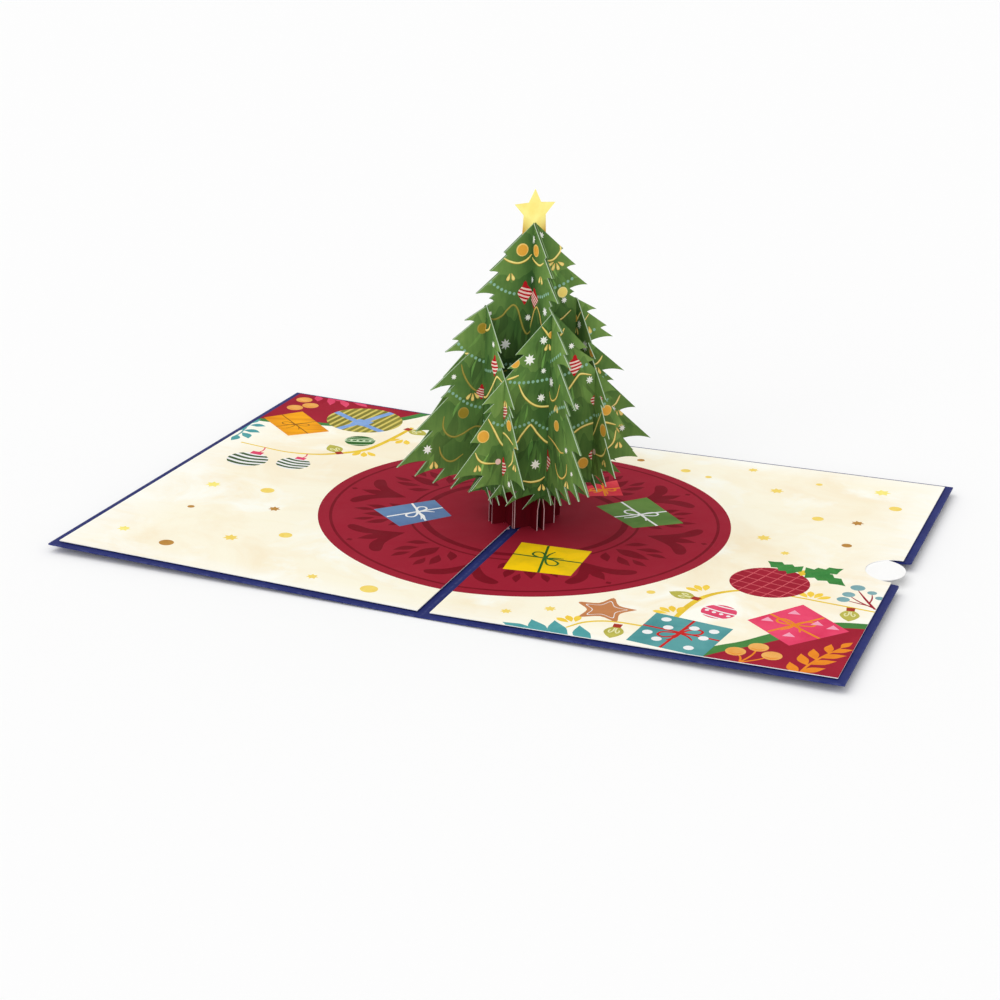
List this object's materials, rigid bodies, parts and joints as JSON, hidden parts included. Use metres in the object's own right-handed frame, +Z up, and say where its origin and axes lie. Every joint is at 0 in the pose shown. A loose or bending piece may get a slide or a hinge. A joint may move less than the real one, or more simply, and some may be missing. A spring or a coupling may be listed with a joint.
{
  "type": "pop up card",
  "caption": "Greeting card opened flat, with a slotted paper fir tree standing on its fold, a star on the tree, and a note card that pulls out of a pocket.",
  "frame": {"origin": "underside of the cover, at the middle of its fold, where the opened card touches the table", "axes": "+X across the spread towards the panel with the pocket, +Y along the fold away from the reader, +Z up along the tree"},
  "size_m": [0.254, 0.1778, 0.1118],
  "materials": {
    "cover_card": "dark blue dyed card, matt",
    "liner_print": "cream printed paper with a dark red round field, satin",
    "tape": "double sided tape",
    "note_card": "plain white card, matt",
    "star_print": "card printed yellow with a soft gold fade, satin",
    "tree_print": "laser cut paper printed green on both faces, pale cut edges",
    "trunk_print": "laser cut paper printed dark red, pale cut edges"
  },
  "bodies": {
    "card": {"cover": "cover_card", "liner_left": "liner_print", "liner_right": "liner_print", "liner_tape_left": "tape", "liner_tape_right": "tape", "star_topper": "star_print", "tree_quarter_front": "tree_print", "tree_quarter_right": "tree_print", "tree_quarter_back": "tree_print", "tree_quarter_left": "tree_print", "cross_sheet_front_right": "tree_print", "cross_sheet_back_left": "tree_print", "cross_sheet_front_left": "tree_print", "cross_sheet_back_right": "tree_print", "trunk_wall_front_right": "trunk_print", "trunk_wall_back_left": "trunk_print", "trunk_wall_front_left": "trunk_print", "trunk_wall_back_right": "trunk_print"},
    "note": {"notecard": "note_card"}
  },
  "joints": [
    {"name": "notecard_slide", "type": "slide", "parent": "card", "child": "note", "axis": [0.9998, 0, 0.0177], "range_m": [0, 0.09]}
  ]
}
